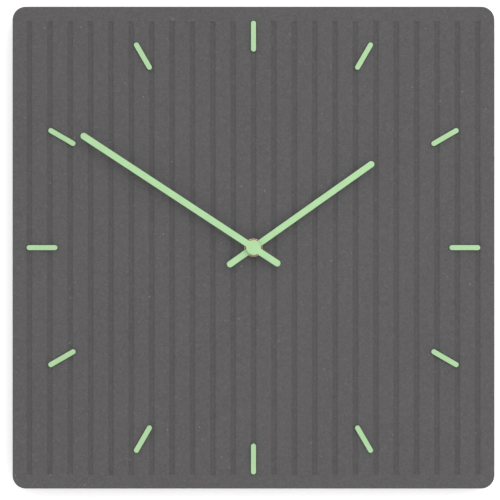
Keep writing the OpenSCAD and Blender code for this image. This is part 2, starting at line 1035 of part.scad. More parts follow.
dial_panel();
for (hour = [1:12])
    hour_marker(hour);
hour_hand();
hour_hand_collet();
minute_hand();
minute_hand_bush();
bush_washer();
bush_nut();
cushion_washer();
movement_case();
movement_back_cover();
threaded_bush();
train_bridge();
minute_arbor();
clutch_spring();
hour_wheel();
minute_wheel();
setting_knob();
centre_wheel();
third_wheel();
fourth_wheel();
fifth_wheel();
rotor_pinion();
rotor_magnet();
stator();
stator_screws();
coil_core();
coil_bobbin();
coil_winding();
circuit_board();
clock_chip();
quartz_crystal();
positive_contact();
negative_contact();
battery_can();
battery_sleeve();
battery_terminal();
keyhole_plate();
keyhole_screws();
for (corner = [1:4])
    wall_bumper(corner);
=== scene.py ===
import json
import math

import bmesh
import bpy
from mathutils import Matrix, Vector


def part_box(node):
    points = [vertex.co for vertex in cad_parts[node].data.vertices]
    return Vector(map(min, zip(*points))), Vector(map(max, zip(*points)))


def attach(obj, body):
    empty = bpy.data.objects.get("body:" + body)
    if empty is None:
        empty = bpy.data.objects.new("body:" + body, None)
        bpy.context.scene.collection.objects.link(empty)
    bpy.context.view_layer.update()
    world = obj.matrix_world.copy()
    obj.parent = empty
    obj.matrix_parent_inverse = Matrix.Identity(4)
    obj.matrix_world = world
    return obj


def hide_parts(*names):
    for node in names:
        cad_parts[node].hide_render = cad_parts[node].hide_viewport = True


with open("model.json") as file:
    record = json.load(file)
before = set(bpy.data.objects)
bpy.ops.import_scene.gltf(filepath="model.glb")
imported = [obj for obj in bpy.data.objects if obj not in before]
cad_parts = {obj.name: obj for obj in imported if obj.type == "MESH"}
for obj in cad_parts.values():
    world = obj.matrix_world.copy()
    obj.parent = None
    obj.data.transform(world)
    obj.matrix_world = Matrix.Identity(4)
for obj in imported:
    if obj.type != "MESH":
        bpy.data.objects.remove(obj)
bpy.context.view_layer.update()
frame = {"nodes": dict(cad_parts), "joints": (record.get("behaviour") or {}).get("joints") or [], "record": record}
nodes = frame["nodes"]
record = frame["record"]
BODY_OF = {n: body for body, members in record["behaviour"]["bodies"].items() for n in members}
SLOT_OF = {part["node"]: part["material_slot"] for part in record["subparts"]}
HANDS_AXIS = next(Vector(j["pos_m"]) for j in frame["joints"] if j["name"] == "minute_hand_turn")

MM = 0.001
MERGE = 0.0000002         # points closer than this are one point, in metres

# The dial frame: x to the right, y up and z out of the dial, from the back of
# the panel, with the hands' axis at x = y = 0. Shapes are drawn in it in mm.
DIAL = Matrix.Translation((HANDS_AXIS.x, 0, HANDS_AXIS.z)) @ Matrix.Rotation(math.radians(90), 4, "X")
TO_DIAL = DIAL.inverted()


def dial_extent(*names, clockwise=0.0):
    """Lowest and highest corner of CAD nodes in the dial frame, in mm, turned back by an angle."""
    turn = Matrix.Rotation(math.radians(clockwise), 4, "Z") @ TO_DIAL
    points = [turn @ v.co for n in names for v in nodes[n].data.vertices]
    low = Vector([min(p[i] for p in points) for i in range(3)]) / MM
    high = Vector([max(p[i] for p in points) for i in range(3)]) / MM
    return low, high


BEYOND = 1.0              # how far a cutting solid reaches past a surface, in mm

# The panel and its grooves, in mm
panel_low, panel_high = dial_extent("dial_panel")
PANEL_W = panel_high.x - panel_low.x
PANEL_T = panel_high.z
PANEL_CORNER = 9.6
GROOVE_COUNT = 23
GROOVE_PITCH = 14.8
GROOVE_W = 3.45
GROOVE_DEPTH = 0.8
GROOVE_SLOPE = 1.8        # how far a groove's wall leans out from floor to land
GROOVE_PAINTED_SHADE = 0.12       # painted shade: how much darker the board is painted in the grooves
GROOVE_LOW = -PANEL_W / 2 + 10.1
GROOVE_HIGH = PANEL_W / 2 - 10.9
MARKER_GAP = 0.2          # around a marker in its seat
SCREW_Y = 17.5            # of the hanger's screws, from the middle of its plate


# ---------------------------------------------------------------- mesh tools

def arc(cx, cy, r, start, end, steps):
    """Points of an arc, angles in degrees from +x, both ends included."""
    return [
        (cx + r * math.cos(math.radians(start + (end - start) * i / steps)),
         cy + r * math.sin(math.radians(start + (end - start) * i / steps)))
        for i in range(steps + 1)
    ]


# An outline is a function of an inset: it gives a shape's points, moved inwards by that much

def circle_outline(r, steps):
    def outline(inset):
        return arc(0, 0, r - inset, 0, 360 - 360 / steps, steps - 1)
    return outline


def pill_outline(w, low, high, steps=20):
    """A bar with round ends along y."""
    def outline(inset):
        r = w / 2 - inset
        return arc(0, high - w / 2, r, 0, 180, steps) + arc(0, low + w / 2, r, 180, 360, steps)
    return outline


def rectangle_outline(w, h, r, steps=10, centre=(0.0, 0.0)):
    """A rectangle with round corners."""
    def outline(inset):
        corner = max(r - inset, 0.02)
        x, y = w / 2 - inset - corner, h / 2 - inset - corner
        points = []
        for sx, sy, start in ((1, 1, 0), (-1, 1, 90), (-1, -1, 180), (1, -1, 270)):
            points += arc(centre[0] + sx * x, centre[1] + sy * y, corner, start, start + 90, steps)
        return points
    return outline


def hand_outline(w, reach, tail, hub_d, steps=20):
    """A bar with round ends and a round middle, pointing up."""
    def outline(inset):
        half, hub = w / 2 - inset, hub_d / 2 - inset
        meet = math.degrees(math.acos(half / hub))
        return (
            arc(0, reach - w / 2, half, 0, 180, steps)
            + arc(0, 0, hub, 180 - meet, 180 + meet, steps)
            + arc(0, w / 2 - tail, half, 180, 360, steps)
            + arc(0, 0, hub, -meet, meet, steps)
        )
    return outline


def cross_outline(w, span):
    """A plus sign, for the recess of a cross-head screw."""
    def outline(inset):
        near, far = w / 2 - inset, span / 2 - inset
        arm = [Vector((far, -near)), Vector((far, near)), Vector((near, near))]
        turns = [Matrix.Rotation(math.radians(quarter), 2) for quarter in (0, 90, 180, 270)]
        return [tuple(turn @ point) for turn in turns for point in arm]
    return outline


def grip_outline(r, grips, depth, steps):
    """A round knob with scalloped grips."""
    def outline(inset):
        points = []
        for i in range(grips * steps):
            phase = (i % steps) / steps
            dip = depth * max(0.0, math.cos(2 * math.pi * phase)) ** 2
            a = 2 * math.pi * i / (grips * steps)
            points.append(((r - dip - inset) * math.cos(a), (r - dip - inset) * math.sin(a)))
        return points
    return outline


def loft(levels):
    """A closed solid through outlines of equal length, from the lowest up: [(points, z), ...]."""
    bm = bmesh.new()
    rings = [[bm.verts.new((x, y, z)) for x, y in points] for points, z in levels]
    count = len(rings[0])
    for low, high in zip(rings, rings[1:]):
        for i in range(count):
            j = (i + 1) % count
            bm.faces.new((low[i], low[j], high[j], high[i]))
    bm.faces.new(list(reversed(rings[0])))
    bm.faces.new(rings[-1])
    return bm


def rounded(outline, low, high, r_low, r_high, steps=4):
    """Levels of a solid from low to high whose two rims are rounded inwards."""
    levels = []
    for k in range(steps + 1):
        a = math.pi / 2 * k / steps
        levels.append((outline(r_low * (1 - math.sin(a))), low + r_low * (1 - math.cos(a))))
    for k in range(steps, -1, -1):
        a = math.pi / 2 * k / steps
        levels.append((outline(r_high * (1 - math.sin(a))), high - r_high * (1 - math.cos(a))))
    return levels


def cutter(outline, floor, top, shoulder, steps=3):
    """Levels of a cutting solid that leaves a rounded shoulder where it leaves the surface at top.
    A top below the floor cuts from behind."""
    way = 1 if top > floor else -1
    levels = [(outline(0), floor)]
    for k in range(steps + 1):
        a = math.pi / 2 * k / steps
        levels.append((outline(-shoulder * (1 - math.cos(a))), top - way * shoulder * (1 - math.sin(a))))
    levels.append((outline(-shoulder), top + way * BEYOND))
    return levels if way > 0 else levels[::-1]


def prism(points, *heights):
    """A straight solid through the same points at each height."""
    return loft([(points, z) for z in heights])


def soften(points, radii, steps=3, closed=True):
    """A polygon's corners turned into short curves. radii is one number, or one per corner."""
    count = len(points)
    if not hasattr(radii, "__len__"):
        radii = [radii] * count
    made = []
    for i, point in enumerate(points):
        if radii[i] == 0 or (not closed and i in (0, count - 1)):
            made.append(tuple(point))
            continue
        p = Vector(point)
        start = p + (Vector(points[i - 1]) - p).normalized() * radii[i]
        end = p + (Vector(points[(i + 1) % count]) - p).normalized() * radii[i]
        for k in range(steps + 1):
            t = k / steps
            made.append(tuple(start * (1 - t) ** 2 + p * (2 * t * (1 - t)) + end * t ** 2))
    return made


def lathe(profile, segments=96, closed=True):
    """A solid of revolution about z. A closed profile makes a ring; an open one starts and ends at r = 0.
    A radius is a number, or a function of the part of a turn from +x."""
    bm = bmesh.new()
    rings = []
    for r, z in profile:
        if r == 0:
            rings.append([bm.verts.new((0, 0, z))])
            continue
        ring = []
        for i in range(segments):
            reach = r(i / segments) if callable(r) else r
            a = 2 * math.pi * i / segments
            ring.append(bm.verts.new((reach * math.cos(a), reach * math.sin(a), z)))
        rings.append(ring)
    pairs = list(zip(rings, rings[1:]))
    if closed:
        pairs.append((rings[-1], rings[0]))
    for a, b in pairs:
        for i in range(segments):
            j = (i + 1) % segments
            corners = [a[i % len(a)], a[j % len(a)], b[j % len(b)], b[i % len(b)]]
            bm.faces.new(list(dict.fromkeys(corners)))
    bmesh.ops.recalc_face_normals(bm, faces=bm.faces)
    return bm


def join(*parts):
    """Several bmeshes, each with the place it goes to, as one."""
    whole = bmesh.new()
    for bm, place in parts:
        bm.transform(place)
        mesh = bpy.data.meshes.new("part")
        bm.to_mesh(mesh)
        bm.free()
        whole.from_mesh(mesh)
        bpy.data.meshes.remove(mesh)
    return whole


def shift(x=0.0, y=0.0, z=0.0):
    return Matrix.Translation((x, y, z))


def turned(degrees):
    """A clockwise turn about z, as the dial is seen."""
    return Matrix.Rotation(math.radians(-degrees), 4, "Z")


def make(name, bm, place=None):
    """An object from a bmesh in mm; place is where its own frame stands in the dial frame, in mm."""
    place = place.copy() if place is not None else Matrix.Identity(4)
    place.translation *= MM
    bm.transform(Matrix.Scale(MM, 4))
    bmesh.ops.recalc_face_normals(bm, faces=bm.faces)
    mesh = bpy.data.meshes.new(name)
    bm.to_mesh(mesh)
    bm.free()
    obj = bpy.data.objects.new(name, mesh)
    bpy.context.scene.collection.objects.link(obj)
    obj.matrix_world = DIAL @ place
    return obj


def boolean(obj, bm):
    """Cuts a bmesh in mm, drawn in obj's own frame, out of obj."""
    bm.transform(Matrix.Scale(MM, 4))
    bmesh.ops.recalc_face_normals(bm, faces=bm.faces)
    mesh = bpy.data.meshes.new("tool")
    bm.to_mesh(mesh)
    bm.free()
    tool = bpy.data.objects.new("tool", mesh)
    bpy.context.scene.collection.objects.link(tool)
    tool.matrix_world = obj.matrix_world
    modifier = obj.modifiers.new("cut", "BOOLEAN")
    modifier.operation = "DIFFERENCE"
    modifier.solver = "EXACT"
    modifier.object = tool
    bpy.context.view_layer.update()
    graph = bpy.context.evaluated_depsgraph_get()
    made = bpy.data.meshes.new_from_object(obj.evaluated_get(graph))
    cleaned = bmesh.new()
    cleaned.from_mesh(made)
    bmesh.ops.remove_doubles(cleaned, verts=cleaned.verts, dist=MERGE)
    bmesh.ops.dissolve_degenerate(cleaned, edges=cleaned.edges, dist=MERGE)
    cleaned.to_mesh(made)
    cleaned.free()
    obj.modifiers.remove(modifier)
    old = obj.data
    obj.data = made
    made.name = old.name
    bpy.data.meshes.remove(old)
    bpy.data.objects.remove(tool)
    bpy.data.meshes.remove(mesh)


def smooth(obj, angle=35):
    """Smooth shading that keeps edges sharper than the angle, in degrees."""
    obj.data.shade_smooth()
    obj.data.set_sharp_from_angle(angle=math.radians(angle))
    weighted = obj.modifiers.new("weighted", "WEIGHTED_NORMAL")
    weighted.keep_sharp = True
    weighted.weight = 100


def stand_for(obj, *names, angle=35):
    """obj takes the place, the body and the finish of CAD nodes."""
    smooth(obj, angle)
    obj.data.materials.clear()
    obj.data.materials.append(FINISH[SLOT_OF[names[0]]])
    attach(obj, BODY_OF[names[0]])
    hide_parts(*names)
    return obj


# ----------------------------------------------------------------- materials

class Finish:
    """A material around one Principled shader, with its patterns measured in the piece's own metres."""

    def __init__(self, name, **sockets):
        self.material = bpy.data.materials.new(name)
        self.material.use_nodes = True
        self.tree = self.material.node_tree
        self.tree.nodes.clear()
        self.shader = self.tree.nodes.new("ShaderNodeBsdfPrincipled")
        self.output = self.tree.nodes.new("ShaderNodeOutputMaterial")
        self.tree.links.new(self.shader.outputs["BSDF"], self.output.inputs["Surface"])
        for socket, value in sockets.items():
            self.shader.inputs[socket.replace("_", " ")].default_value = value
        self.normal = None

    def node(self, kind, output=0, settings=(), **inputs):
        made = self.tree.nodes.new("ShaderNode" + kind)
        for key, value in dict(settings).items():
            setattr(made, key, value)
        for key, value in inputs.items():
            if key.startswith("in_"):
                socket = made.inputs[int(key[3:])]
            else:
                socket = made.inputs[key.replace("_", " ")]
            if isinstance(value, bpy.types.NodeSocket):
                self.tree.links.new(value, socket)
            else:
                socket.default_value = value
        return made.outputs[output]

    def place(self, stretch=(1, 1, 1), turn=(0, 0, 0)):
        """The piece's own coordinates, in which patterns come out stretched along turned axes."""
        coords = self.tree.nodes.new("ShaderNodeTexCoord").outputs["Object"]
        return self.node("Mapping", settings={"vector_type": "TEXTURE"}, Vector=coords, Scale=stretch,
                         Rotation=tuple(math.radians(a) for a in turn))

    def noise(self, size, detail=3.0, roughness=0.55, distortion=0.0, place=None):
        """Noise whose features are about size metres across."""
        return self.node("TexNoise", Vector=place or self.place(), Scale=1 / size, Detail=detail,
                         Roughness=roughness, Distortion=distortion)

    def cells(self, size, output=0, place=None, feature="F1"):
        return self.node("TexVoronoi", output=output, settings={"feature": feature},
                         Vector=place or self.place(), Scale=1 / size)

    def ramp(self, factor, *stops):
        """Colour stops (position, colour), or grey levels (position, number)."""
        made = self.tree.nodes.new("ShaderNodeValToRGB")
        elements = made.color_ramp.elements
        while len(elements) < len(stops):
            elements.new(0.5)
        for element, (position, value) in zip(elements, stops):
            element.position = position
            element.color = (*value, 1) if hasattr(value, "__len__") else (value, value, value, 1)
        self.tree.links.new(factor, made.inputs["Fac"])
        return made.outputs["Color"]

    def mix(self, factor, a, b):
        """Colour a where the factor is 0 and b where it is 1."""
        colours = [(*value, 1) if isinstance(value, tuple) else value for value in (a, b)]
        return self.node("Mix", output=2, settings={"data_type": "RGBA"},
                         in_0=factor, in_6=colours[0], in_7=colours[1])

    def math(self, operation, a, b=0.0):
        return self.node("Math", settings={"operation": operation}, in_0=a, in_1=b)

    def map_range(self, value, low, high, to_low, to_high):
        return self.node("MapRange", Value=value, From_Min=low, From_Max=high,
                         To_Min=to_low, To_Max=to_high)

    def colour(self, value):
        self.tree.links.new(value, self.shader.inputs["Base Color"])

    def roughness(self, value, low, high):
        """Roughness from low to high as a pattern goes over its middle range."""
        self.tree.links.new(self.map_range(value, 0.3, 0.7, low, high), self.shader.inputs["Roughness"])

    def bump(self, height, depth, strength=1.0):
        """Relief of about depth metres, on top of the relief given before."""
        made = self.tree.nodes.new("ShaderNodeBump")
        made.inputs["Strength"].default_value = strength
        made.inputs["Distance"].default_value = depth
        self.tree.links.new(height, made.inputs["Height"])
        if self.normal is not None:
            self.tree.links.new(self.normal, made.inputs["Normal"])
        self.normal = made.outputs["Normal"]
        self.tree.links.new(self.normal, self.shader.inputs["Normal"])


def shade(colour, factor):
    return tuple(min(1.0, c * factor) for c in colour)


def fibreboard():
    """Through-dyed grey fibreboard: short fibres lying every way, faint clouds, a few pale specks and
    painted shade, a darker tone painted into the grooves."""
    f = Finish("dyed_fibreboard", Roughness=0.92, Specular_IOR_Level=0.3)
    base = (0.0910, 0.0875, 0.0893)
    grain = f.noise(0.0007, 3, 0.65)
    tufts = f.noise(0.0024, 3, 0.6, 1.5)
    clouds = f.noise(0.035, 3, 0.5)
    mixed = f.math("ADD", f.math("MULTIPLY", grain, 0.6), f.math("MULTIPLY", tufts, 0.4))
    for turn in (12, 71, 133):
        fibre = f.noise(0.0008, 2, 0.5, 0.8, place=f.place((4.5, 1, 1.6), (0, 0, turn)))
        mixed = f.math("ADD", mixed, f.map_range(fibre, 0.58, 0.72, 0.0, 0.1))
    tone = f.ramp(mixed, (0.34, shade(base, 0.72)), (0.52, base), (0.74, shade(base, 1.4)))
    tone = f.mix(f.map_range(clouds, 0.35, 0.65, 0.0, 0.12), tone, shade(base, 1.25))
    spots = f.cells(0.0042, 0, place=f.place((1, 1.8, 1)))
    pale = f.math("MULTIPLY", f.map_range(spots, 0.05, 0.1, 1.0, 0.0),
                  f.map_range(f.noise(0.006, 1), 0.56, 0.62, 0.0, 0.5))
    # Painted shade: the board is darkened from the grooves' floors up to their lands, standing in for the shade
    # inside them
    height = f.node("SeparateXYZ", output=2, Vector=f.place())
    floor_end, land_start = ((PANEL_T - GROOVE_DEPTH * part) * MM for part in (0.7, 0.3))
    painted_groove_shade = f.map_range(height, floor_end, land_start, GROOVE_PAINTED_SHADE, 0.0)
    tone = f.mix(painted_groove_shade, tone, (0.0, 0.0, 0.0))
    f.colour(f.mix(pale, tone, (0.36, 0.35, 0.34)))
    f.roughness(grain, 0.86, 0.97)
    f.bump(mixed, 0.00012, 0.5)
    f.bump(clouds, 0.0002, 0.25)
    return f.material


def paint(name, colour):
    """Sprayed satin paint: a fine orange peel, faint clouds and specks of dust."""
    f = Finish(name, Roughness=0.5, Specular_IOR_Level=0.4, Coat_Weight=0.1, Coat_Roughness=0.25)
    clouds = f.noise(0.009, 3)
    peel = f.noise(0.0011, 2, 0.45)
    tone = f.ramp(clouds, (0.3, shade(colour, 0.965)), (0.7, shade(colour, 1.035)))
    dust = f.cells(0.0035)
    f.colour(f.mix(f.map_range(dust, 0.03, 0.07, 0.25, 0.0), tone, shade(colour, 0.8)))
    f.roughness(peel, 0.42, 0.58)
    f.bump(peel, 0.00006, 0.6)
    f.bump(f.noise(0.0002, 2), 0.00001, 0.4)
    return f.material


def turned_metal(name, colour, ring=0.00016, roughness=(0.18, 0.34), tarnish=0.75, apart=0.0):
    """Metal off a lathe: fine rings about z, faint tarnish and handling marks.
    A piece that is two turned parts has them apart metres from its origin, up and down y."""
    f = Finish(name, Metallic=1.0, Roughness=0.28)
    x, y = (f.node("SeparateXYZ", output=i, Vector=f.place()) for i in (0, 1))
    if apart:
        y = f.math("SUBTRACT", f.math("ABSOLUTE", y), apart)
    radius = f.math("SQRT", f.math("ADD", f.math("MULTIPLY", x, x), f.math("MULTIPLY", y, y)))
    rings = f.math("SINE", f.math("MULTIPLY", radius, 2 * math.pi / ring))
    wobble = f.noise(0.0025, 3)
    tone = f.ramp(wobble, (0.3, shade(colour, tarnish)), (0.6, colour), (0.8, shade(colour, 1.12)))
    f.colour(tone)
    f.roughness(f.noise(0.0012, 3), *roughness)
    f.bump(rings, 0.000006, 0.6)
    f.bump(f.noise(0.0004, 2), 0.000008, 0.4)
    return f.material


def moulded(name, colour, size=0.00045, depth=0.00006, roughness=(0.42, 0.6), **sockets):
    """Moulded plastic with a spark-eroded grain and slight flow marks."""
    f = Finish(name, Roughness=0.5, **sockets)
    flow = f.noise(0.012, 3, 0.5, 1.2)
    grain = f.noise(size, 2, 0.5)
    f.colour(f.mix(f.map_range(grain, 0.3, 0.7, 0.0, 1.0),
                   f.ramp(flow, (0.3, shade(colour, 0.82)), (0.7, shade(colour, 1.0))),
                   f.ramp(flow, (0.3, shade(colour, 1.02)), (0.7, shade(colour, 1.25)))))
    f.roughness(f.noise(0.003, 3), *roughness)
    f.bump(grain, depth, 0.7)
    return f.material


def plated(name, colour, second, roughness=(0.25, 0.45)):
    """Plated sheet or wire: faint crystals, rolling lines and fine scratches."""
    f = Finish(name, Metallic=1.0, Roughness=0.35)
    crystals = f.cells(0.0022, output=1)
    clouds = f.noise(0.006, 3)
    lines = f.noise(0.0009, 2, place=f.place((16, 1, 1)))
    f.colour(f.mix(f.map_range(clouds, 0.3, 0.7, 0.0, 1.0), colour, second))
    f.roughness(f.node("SeparateColor", Color=crystals), *roughness)
    f.bump(lines, 0.000012, 0.5)
    f.bump(f.noise(0.0002, 2), 0.000006, 0.3)
    return f.material


def rubber(name, colour):
    """Black moulded rubber with a dull bloom."""
    f = Finish(name, Roughness=0.8, Specular_IOR_Level=0.3)
    bloom = f.noise(0.004, 4)
    pores = f.noise(0.0004, 2)
    f.colour(f.ramp(bloom, (0.3, colour), (0.75, shade(colour, 1.9))))
    f.roughness(bloom, 0.68, 0.92)
    f.bump(pores, 0.00004, 0.6)
    return f.material


def winding(name, colour):
    """Enamelled wire, wound turn beside turn along x."""
    f = Finish(name, Metallic=0.9, Roughness=0.3, Coat_Weight=0.5, Coat_Roughness=0.15)
    turns = f.node("TexWave", settings={"bands_direction": "X"}, Vector=f.place(), Scale=3200.0,
                   Distortion=0.6, Detail=2.0)
    # Painted shade in the gaps between turns and a painted highlight on each turn's crown, following the same
    # waves as the bump
    f.colour(f.ramp(turns, (0.0, shade(colour, 0.35)), (0.6, colour), (1.0, shade(colour, 1.3))))
    f.roughness(f.noise(0.001, 2), 0.22, 0.4)
    f.bump(turns, 0.00004, 0.8)
    return f.material


def board(name, colour):
    """A circuit board's solder mask over copper tracks."""
    f = Finish(name, Roughness=0.35, Coat_Weight=0.4, Coat_Roughness=0.12)
    tracks = f.cells(0.0032, feature="DISTANCE_TO_EDGE", place=f.place(turn=(0, 45, 0)))
    copper = f.map_range(tracks, 0.1, 0.14, 1.0, 0.0)
    weave = f.noise(0.0006, 2, place=f.place((1, 1, 2.5)))
    ground = f.ramp(weave, (0.3, shade(colour, 0.82)), (0.7, shade(colour, 1.15)))
    f.colour(f.mix(f.math("MULTIPLY", copper, 0.55), ground, shade(colour, 1.8)))
    f.roughness(weave, 0.28, 0.45)
    f.bump(copper, 0.00003, 0.5)
    return f.material


def sleeve(name, body, band, band_start):
    """A battery's printed film: one plain body colour and a plain metallic band at the positive end."""
    f = Finish(name, Roughness=0.3, Coat_Weight=0.6, Coat_Roughness=0.08)
    along = f.node("SeparateXYZ", output=2, Vector=f.place())
    at_band = f.map_range(along, band_start - 0.0001, band_start + 0.0001, 0.0, 1.0)
    shimmer = f.noise(0.002, 3)
    f.colour(f.mix(at_band,
                   f.ramp(shimmer, (0.3, shade(body, 0.92)), (0.7, shade(body, 1.06))),
                   f.ramp(shimmer, (0.3, shade(band, 0.9)), (0.7, shade(band, 1.08)))))
    f.tree.links.new(f.math("MULTIPLY", at_band, 0.85), f.shader.inputs["Metallic"])
    f.roughness(f.noise(0.004, 3), 0.22, 0.38)
    f.bump(f.noise(0.003, 2), 0.00002, 0.3)
    return f.material


MINT_MARKER = (0.350, 0.552, 0.296)
MINT_HAND = (0.358, 0.588, 0.302)
FINISH = {
    "panel_board": fibreboard(),
    "marker_paint": paint("mint_marker_paint", MINT_MARKER),
    "hand_paint": paint("mint_hand_paint", MINT_HAND),
    "brass": turned_metal("turned_brass", (0.56, 0.47, 0.32), roughness=(0.14, 0.28)),
    "black_rubber": rubber("black_rubber", (0.018, 0.018, 0.019)),
    "case_plastic": moulded("black_case_plastic", (0.022, 0.022, 0.024)),
    "cover_plastic": moulded("dark_cover_plastic", (0.030, 0.031, 0.034), roughness=(0.36, 0.55)),
    "natural_acetal": moulded("natural_acetal", (0.74, 0.72, 0.66), 0.0008, 0.00001, (0.25, 0.42),
                              Subsurface_Weight=0.15, Subsurface_Radius=(0.001, 0.0009, 0.0007)),
    "knob_plastic": moulded("pale_knob_plastic", (0.60, 0.58, 0.53), 0.0006, 0.00002, (0.35, 0.52)),
    "steel": turned_metal("turned_steel", (0.60, 0.61, 0.62), tarnish=0.85),
    "magnet": moulded("sintered_magnet", (0.045, 0.045, 0.050), 0.00025, 0.00002, (0.45, 0.7),
                      Metallic=0.6),
    "lamination": plated("stamped_lamination", (0.42, 0.43, 0.46), (0.52, 0.53, 0.55)),
    "bobbin_plastic": moulded("bobbin_plastic", (0.035, 0.035, 0.042), 0.0007),
    "copper_wire": winding("enamelled_copper_wire", (0.62, 0.22, 0.08)),
    "board_green": board("green_circuit_board", (0.020, 0.12, 0.045)),
    "chip_resin": moulded("chip_resin", (0.010, 0.010, 0.011), 0.0015, 0.00003, (0.12, 0.3)),
    "nickel": plated("bright_nickel", (0.66, 0.66, 0.64), (0.72, 0.71, 0.68), roughness=(0.14, 0.28)),
    "battery_steel": plated("battery_can_steel", (0.60, 0.60, 0.59), (0.70, 0.69, 0.67),
                            roughness=(0.2, 0.34)),
    "battery_print": sleeve("battery_sleeve_film", (0.028, 0.050, 0.060), (0.66, 0.40, 0.18), 0.0145),
    "zinc_plate": plated("zinc_plated_steel", (0.56, 0.57, 0.58), (0.66, 0.66, 0.64), roughness=(0.3, 0.5)),
    "screw_steel": turned_metal("yellow_zinc_steel", (0.72, 0.58, 0.30), ring=0.0003, roughness=(0.24, 0.42),
                                tarnish=0.8, apart=SCREW_Y * MM),
}
for name, obj in nodes.items():
    obj.data.materials.clear()
    obj.data.materials.append(FINISH[SLOT_OF[name]])


# --------------------------------------------------------------------- panel

POCKET_W = 58.0
POCKET_CORNER = 4.0
POCKET_DEPTH = 14.0
BUSH_HOLE_R = 4.2
BACK_EDGE = 0.4           # rounding of the panel's edge at the back
FRONT_EDGE = 0.55         # and at the front
GROOVE_CORNER = 0.1
GROOVE_STEPS = 8
MARKER_SHOULDER = 0.12    # roundings where the cuts leave the surface
POCKET_SHOULDER = 0.3
HOLE_SHOULDER = 0.2
PLATE_SHOULDER = 0.15
PLATE_GAP = 0.1           # around the hanger's plate in its seat

# The hanger's plate, set in flush, and its keyhole
plate_low, plate_high = dial_extent("keyhole_plate")
PLATE_W = plate_high.x - plate_low.x
PLATE_H = plate_high.y - plate_low.y
PLATE_T = plate_high.z - plate_low.z
PLATE_Y = (plate_high.y + plate_low.y) / 2
PLATE_CORNER = 3.0
ENTRY_Y = (TO_DIAL @ Vector((0, 0, 0))).y / MM
ENTRY_R = 4.5
SLOT_R = 2.3
SLOT_L = 9.0
RECESS_R = 5.6            # of the room for the wall screw's head behind the plate
RECESS_DEPTH = 9.0


def marker_box(hour):
    """Middle, width, length, lowest and highest z of a marker, with its length turned to the dial's y."""
    low, high = dial_extent(f"hour_marker_{hour}", clockwise=30.0 * (hour % 12))
    return (low.y + high.y) / 2, high.x - low.x, high.y - low.y, low.z, high.z


panel_outline = rectangle_outline(PANEL_W, PANEL_W, PANEL_CORNER, 12)
panel = make("panel", loft(rounded(panel_outline, 0, PANEL_T, BACK_EDGE, FRONT_EDGE)))

groove = rectangle_outline(GROOVE_W, GROOVE_HIGH - GROOVE_LOW, GROOVE_CORNER, 3)
groove_levels = []
for step in range(GROOVE_STEPS + 1):
    part = step / GROOVE_STEPS
    rise = GROOVE_DEPTH * (1 - math.cos(math.pi * part)) / 2
    groove_levels.append((groove(GROOVE_SLOPE * (0.5 - part)), PANEL_T - GROOVE_DEPTH + rise))
groove_levels.append((groove(-GROOVE_SLOPE / 2), PANEL_T + BEYOND))
boolean(panel, join(*[
    (loft(groove_levels), shift((i - GROOVE_COUNT // 2) * GROOVE_PITCH, (GROOVE_HIGH + GROOVE_LOW) / 2))
    for i in range(GROOVE_COUNT)
]))

seats = []
for hour in range(1, 13):
    middle, w, l, z_low, z_high = marker_box(hour)
    outline = pill_outline(w + 2 * MARKER_GAP, -l / 2 - MARKER_GAP, l / 2 + MARKER_GAP)
    seat = loft(cutter(outline, z_low, PANEL_T, MARKER_SHOULDER))
    seats.append((seat, turned(30 * hour) @ shift(y=middle)))
boolean(panel, join(*seats))

pocket = rectangle_outline(POCKET_W, POCKET_W, POCKET_CORNER)
plate_seat = rectangle_outline(PLATE_W + 2 * PLATE_GAP, PLATE_H + 2 * PLATE_GAP, PLATE_CORNER,
                               centre=(0, PLATE_Y))
recess = pill_outline(2 * RECESS_R, ENTRY_Y - RECESS_R, ENTRY_Y + SLOT_L + RECESS_R)
boolean(panel, loft(cutter(pocket, POCKET_DEPTH, 0, POCKET_SHOULDER)))
boolean(panel, loft(cutter(circle_outline(BUSH_HOLE_R, 64), POCKET_DEPTH - BEYOND, PANEL_T, HOLE_SHOULDER)))
boolean(panel, loft(cutter(plate_seat, PLATE_T, 0, PLATE_SHOULDER)))
boolean(panel, prism(recess(0), -BEYOND, RECESS_DEPTH))
stand_for(panel, "dial_panel")

# ---------------------------------------------------------- markers and hands

MARKER_FOOT = 0.1         # rounding of a marker's hidden edge
MARKER_EDGE = 0.4         # and of the one that shows
for hour in range(1, 13):
    middle, w, l, z_low, z_high = marker_box(hour)
    pill = loft(rounded(pill_outline(w, -l / 2, l / 2), 0, z_high - z_low, MARKER_FOOT, MARKER_EDGE))
    marker = make(f"marker_{hour}", pill, turned(30 * hour) @ shift(y=middle, z=z_low))
    stand_for(marker, f"hour_marker_{hour}")

HAND_ANGLE = {"hour_hand": 54.7, "minute_hand": 303.3}    # as in the photo, clockwise from 12
HAND_W = {"hour_hand": 4.65, "minute_hand": 4.75}
HAND_BACK, HAND_EDGE = 0.1, 0.3
HUB_D = 10.4
COLLET_R = 3.2


def hand(node):
    low, high = dial_extent(node, clockwise=HAND_ANGLE[node])
    outline = hand_outline(HAND_W[node], high.y, -low.y, HUB_D)
    bar = loft(rounded(outline, 0, high.z - low.z, HAND_BACK, HAND_EDGE))
    return make(f"{node}_bar", bar, turned(HAND_ANGLE[node]) @ shift(z=low.z))


hour_bar = hand("hour_hand")
boolean(hour_bar, prism(circle_outline(COLLET_R, 64)(0), -BEYOND, 3 * BEYOND))
stand_for(hour_bar, "hour_hand")
stand_for(hand("minute_hand"), "minute_hand")

# ------------------------------------------ washer, nut, bush and rubber cushion

BUSH_R = 4.0
BORE_R = 2.55
RING_GAP = 0.1            # between the bush and what lies around it
washer_low, washer_high = dial_extent("bush_washer")
nut_low, nut_high = dial_extent("bush_nut")
bush_low, bush_high = dial_extent("threaded_bush")
cushion_low, cushion_high = dial_extent("cushion_washer")


def ring_profile(inner, outer, low, high, soft):
    return soften([(inner, low), (outer, low), (outer, high), (inner, high)], soft)


